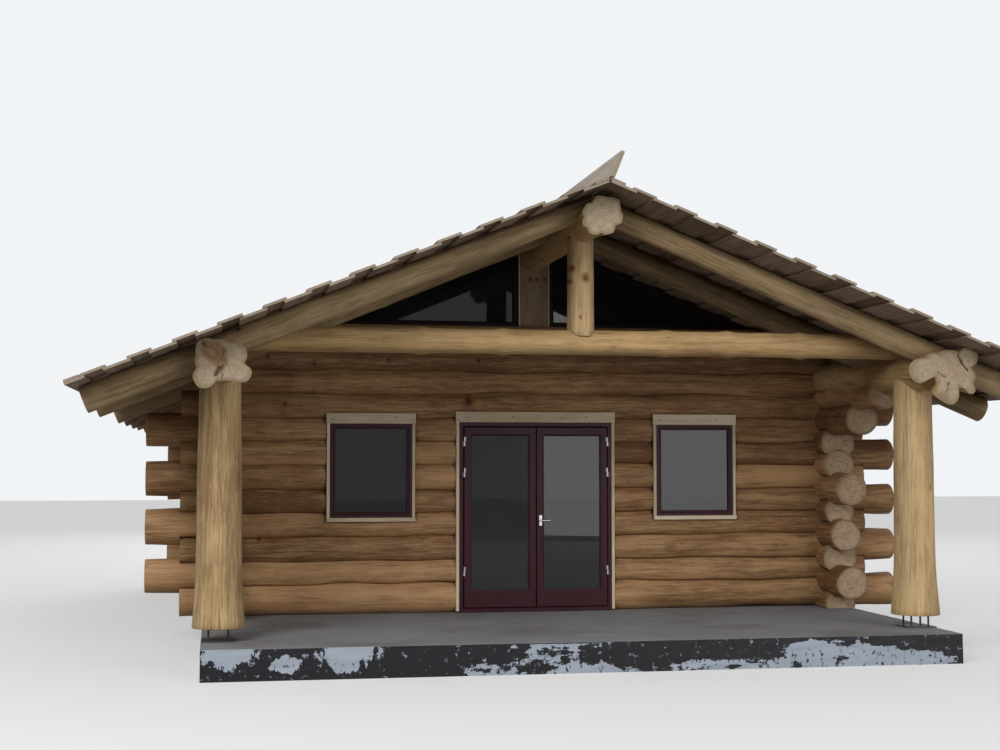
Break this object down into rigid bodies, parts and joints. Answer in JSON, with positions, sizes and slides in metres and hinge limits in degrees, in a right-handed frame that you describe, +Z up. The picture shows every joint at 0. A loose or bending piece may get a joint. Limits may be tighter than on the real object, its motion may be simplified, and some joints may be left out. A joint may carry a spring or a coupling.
{
  "type": "log cabin",
  "caption": "Round-log cabin with scribed corners, glazed gables, a deep porch on two log posts and a double door that opens outward.",
  "frame": {"origin": "on the ground under the middle of the front wall, on the underside of the foundation", "axes": "+X to the right along the front wall, +Y from front to back, +Z up"},
  "size_m": [10, 12.89, 4.9949],
  "materials": {
    "log_wood": "hand-peeled, oiled",
    "post_wood": "drawknifed, with drying cracks",
    "beam_wood": "hand-peeled, pale cut ends",
    "rafter_wood": "hand-peeled",
    "roof_boards": "rough sawn",
    "sawn_wood": "planed",
    "painted_wood": "dark wine-red lacquer",
    "glass": "clear double glazing",
    "concrete": "cast concrete",
    "steel": "galvanised"
  },
  "bodies": {
    "cabin": {"back_opening_trim": "sawn_wood", "back_wall_even_logs": "log_wood", "back_wall_odd_logs": "log_wood", "back_window_frames": "painted_wood", "back_window_glass": "glass", "door_frame": "painted_wood", "door_hinge_pins": "steel", "eave_plate_left": "beam_wood", "eave_plate_right": "beam_wood", "foundation": "concrete", "front_opening_trim": "sawn_wood", "front_rafter_left": "rafter_wood", "front_rafter_right": "rafter_wood", "front_wall_even_logs": "log_wood", "front_wall_odd_logs": "log_wood", "front_window_frames": "painted_wood", "front_window_glass": "glass", "gable_frame_back": "painted_wood", "gable_frame_front": "painted_wood", "gable_glass_back": "glass", "gable_glass_front": "glass", "gable_post_back": "beam_wood", "gable_post_front": "beam_wood", "king_post": "beam_wood", "left_opening_trim": "sawn_wood", "left_wall_even_logs": "log_wood", "left_wall_odd_logs": "log_wood", "left_window_frames": "painted_wood", "left_window_glass": "glass", "porch_post_left": "post_wood", "porch_post_right": "post_wood", "post_foot_left": "steel", "post_foot_right": "steel", "rafters_left": "rafter_wood", "rafters_right": "rafter_wood", "ridge_board": "sawn_wood", "ridge_log": "beam_wood", "right_opening_trim": "sawn_wood", "right_wall_even_logs": "log_wood", "right_wall_odd_logs": "log_wood", "right_window_frames": "painted_wood", "right_window_glass": "glass", "roof_boards_left": "roof_boards", "roof_boards_right": "roof_boards", "tie_beam": "beam_wood"},
    "left_leaf": {"door_leaf_left": "painted_wood", "door_glass_left": "glass", "door_hinges_left": "steel"},
    "right_leaf": {"door_leaf_right": "painted_wood", "door_glass_right": "glass", "door_hinges_right": "steel", "door_handle": "steel"}
  },
  "joints": [
    {"name": "left_leaf_hinge", "type": "hinge", "parent": "cabin", "child": "left_leaf", "pos_m": [-0.8445, -0.22, 0], "axis": [0, 0, -1], "range_deg": [0, 110]},
    {"name": "right_leaf_hinge", "type": "hinge", "parent": "cabin", "child": "right_leaf", "pos_m": [0.8445, -0.22, 0], "axis": [0, 0, 1], "range_deg": [0, 110]}
  ]
}
